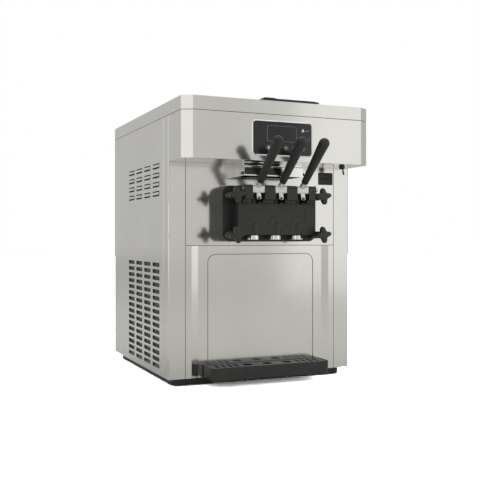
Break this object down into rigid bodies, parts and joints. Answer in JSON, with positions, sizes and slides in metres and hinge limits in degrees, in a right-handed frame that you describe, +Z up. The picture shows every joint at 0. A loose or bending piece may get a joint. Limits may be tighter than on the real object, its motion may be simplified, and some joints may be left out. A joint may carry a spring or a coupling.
{
  "type": "soft serve machine",
  "caption": "Counter-top soft serve machine: stainless casing with overhanging head, freezing cylinders, black dispensing door with draw handles, and a drip tray.",
  "frame": {"origin": "on the counter, under the middle of the whole machine, with the handles and the mains inlet included in that middle", "axes": "+X to the right of a person facing the front, +Y towards the rear of the machine, +Z up"},
  "size_m": [0.545, 0.8244, 0.788],
  "materials": {
    "casing_steel": "satin warm grey, brushed lightly",
    "black_plastic": "fine moulded texture",
    "gloss_black": "glossy",
    "polished_steel": "polished",
    "cast_steel": "fine blasted",
    "rubber": "matt",
    "grip_plastic": "fine moulded texture",
    "white_plastic": "satin",
    "galvanised": "galvanised",
    "foam": "cellular",
    "machine_paint": "semi-gloss paint",
    "compressor_paint": "gloss black paint",
    "copper": "drawn tube",
    "aluminium_fin": "mill finish"
  },
  "bodies": {
    "root": {"base_plinth": "black_plastic", "rubber_feet": "rubber", "chassis_frame": "galvanised", "left_side_panel": "casing_steel", "right_side_panel": "casing_steel", "rear_panel": "casing_steel", "upper_front_panel": "casing_steel", "lower_front_panel": "casing_steel", "head_canopy": "casing_steel", "top_deck": "casing_steel", "display_bezel": "polished_steel", "touch_panel": "gloss_black", "lamp_housing": "polished_steel", "lamp_lens": "gloss_black", "rocker_housing": "black_plastic", "toggle_body": "black_plastic", "door_body": "black_plastic", "door_seals": "rubber", "door_studs": "polished_steel", "pivot_pin": "polished_steel", "nozzle_caps": "polished_steel", "freezing_cylinders": "polished_steel", "cylinder_insulation": "foam", "gearbox": "machine_paint", "drive_belt": "rubber", "beater_motor": "machine_paint", "compressor": "compressor_paint", "refrigerant_pipes": "copper", "condenser": "aluminium_fin", "fan_shroud": "black_plastic", "left_hopper": "polished_steel", "right_hopper": "polished_steel", "feed_tubes": "white_plastic", "control_box": "galvanised", "power_inlet": "black_plastic"},
    "left_handle": {"left_lever": "cast_steel", "left_grip": "grip_plastic"},
    "left_valve": {"left_draw_valve": "black_plastic"},
    "centre_handle": {"centre_lever": "cast_steel", "centre_grip": "grip_plastic"},
    "centre_valve": {"centre_draw_valve": "black_plastic"},
    "right_handle": {"right_lever": "cast_steel", "right_grip": "grip_plastic"},
    "right_valve": {"right_draw_valve": "black_plastic"},
    "upper_left_knob_turn": {"upper_left_knob": "black_plastic"},
    "upper_right_knob_turn": {"upper_right_knob": "black_plastic"},
    "lower_left_knob_turn": {"lower_left_knob": "black_plastic"},
    "lower_right_knob_turn": {"lower_right_knob": "black_plastic"},
    "toggle": {"toggle_lever": "gloss_black"},
    "upper_rocker_body": {"upper_rocker": "black_plastic"},
    "lower_rocker_body": {"lower_rocker": "black_plastic"},
    "motor_rotor": {"motor_pulley": "cast_steel"},
    "gear_train": {"gearbox_pulley": "cast_steel"},
    "left_beater_body": {"left_beater": "white_plastic"},
    "right_beater_body": {"right_beater": "white_plastic"},
    "fan": {"fan_blades": "aluminium_fin"},
    "tray": {"drip_tray": "black_plastic"},
    "grid": {"drip_grid": "black_plastic"},
    "left_lid": {"left_hopper_lid": "black_plastic"},
    "right_cover": {"right_hopper_cover": "black_plastic"}
  },
  "joints": [
    {"name": "left_handle_pull", "type": "hinge", "parent": "root", "child": "left_handle", "pos_m": [-0.064, -0.27676, 0.518], "axis": [1, 0, 0], "range_deg": [0, 42]},
    {"name": "left_valve_lift", "type": "slide", "parent": "root", "child": "left_valve", "axis": [0, 0, 1], "range_m": [0, 0.0245]},
    {"name": "centre_handle_pull", "type": "hinge", "parent": "root", "child": "centre_handle", "pos_m": [0, -0.27676, 0.518], "axis": [1, 0, 0], "range_deg": [0, 42]},
    {"name": "centre_valve_lift", "type": "slide", "parent": "root", "child": "centre_valve", "axis": [0, 0, 1], "range_m": [0, 0.0245]},
    {"name": "right_handle_pull", "type": "hinge", "parent": "root", "child": "right_handle", "pos_m": [0.064, -0.27676, 0.518], "axis": [1, 0, 0], "range_deg": [0, 42]},
    {"name": "right_valve_lift", "type": "slide", "parent": "root", "child": "right_valve", "axis": [0, 0, 1], "range_m": [0, 0.0245]},
    {"name": "upper_left_knob_spin", "type": "hinge", "parent": "root", "child": "upper_left_knob_turn", "pos_m": [-0.125, -0.28076, 0.503], "axis": [0, 1, 0], "continuous": true},
    {"name": "upper_right_knob_spin", "type": "hinge", "parent": "root", "child": "upper_right_knob_turn", "pos_m": [0.125, -0.28076, 0.503], "axis": [0, 1, 0], "continuous": true},
    {"name": "lower_left_knob_spin", "type": "hinge", "parent": "root", "child": "lower_left_knob_turn", "pos_m": [-0.125, -0.28076, 0.4005], "axis": [0, 1, 0], "continuous": true},
    {"name": "lower_right_knob_spin", "type": "hinge", "parent": "root", "child": "lower_right_knob_turn", "pos_m": [0.125, -0.28076, 0.4005], "axis": [0, 1, 0], "continuous": true},
    {"name": "toggle_flip", "type": "hinge", "parent": "root", "child": "toggle", "pos_m": [0.217, -0.22776, 0.5955], "axis": [0, 1, 0], "range_deg": [0, 24]},
    {"name": "upper_rocker_rock", "type": "hinge", "parent": "root", "child": "upper_rocker_body", "pos_m": [0.1967, -0.16876, 0.56], "axis": [0, 0, 1], "range_deg": [0, 12]},
    {"name": "lower_rocker_rock", "type": "hinge", "parent": "root", "child": "lower_rocker_body", "pos_m": [0.1967, -0.16876, 0.56], "axis": [0, 0, 1], "range_deg": [0, 12]},
    {"name": "motor_spin", "type": "hinge", "parent": "root", "child": "motor_rotor", "pos_m": [0, 0.18724, 0.292], "axis": [0, 1, 0], "continuous": true},
    {"name": "gearbox_pulley_spin", "type": "hinge", "parent": "root", "child": "gear_train", "pos_m": [0, 0.18724, 0.455], "axis": [0, 1, 0], "continuous": true},
    {"name": "left_beater_spin", "type": "hinge", "parent": "root", "child": "left_beater_body", "pos_m": [-0.064, -0.04076, 0.455], "axis": [0, 1, 0], "continuous": true},
    {"name": "right_beater_spin", "type": "hinge", "parent": "root", "child": "right_beater_body", "pos_m": [0.064, -0.04076, 0.455], "axis": [0, 1, 0], "continuous": true},
    {"name": "fan_spin", "type": "hinge", "parent": "root", "child": "fan", "pos_m": [0.1, 0.31024, 0.185], "axis": [0, 1, 0], "continuous": true},
    {"name": "drip_tray_pull", "type": "slide", "parent": "root", "child": "tray", "axis": [0, -1, 0], "range_m": [0, 0.12]},
    {"name": "drip_grid_lift", "type": "slide", "parent": "tray", "child": "grid", "axis": [0, 0, 1], "range_m": [0, 0.06]},
    {"name": "left_lid_lift", "type": "slide", "parent": "root", "child": "left_lid", "axis": [0, 0, 1], "range_m": [0, 0.2]},
    {"name": "right_cover_lift", "type": "slide", "parent": "root", "child": "right_cover", "axis": [0, 0, 1], "range_m": [0, 0.2]}
  ],
  "couplings": [
    {"joint": "left_valve_lift", "follows": "left_handle_pull", "m_per_rad": 0.03037},
    {"joint": "centre_valve_lift", "follows": "centre_handle_pull", "m_per_rad": 0.03037},
    {"joint": "right_valve_lift", "follows": "right_handle_pull", "m_per_rad": 0.03037},
    {"joint": "gearbox_pulley_spin", "follows": "motor_spin", "ratio": 0.5},
    {"joint": "left_beater_spin", "follows": "motor_spin", "ratio": -0.1},
    {"joint": "right_beater_spin", "follows": "motor_spin", "ratio": -0.1}
  ]
}
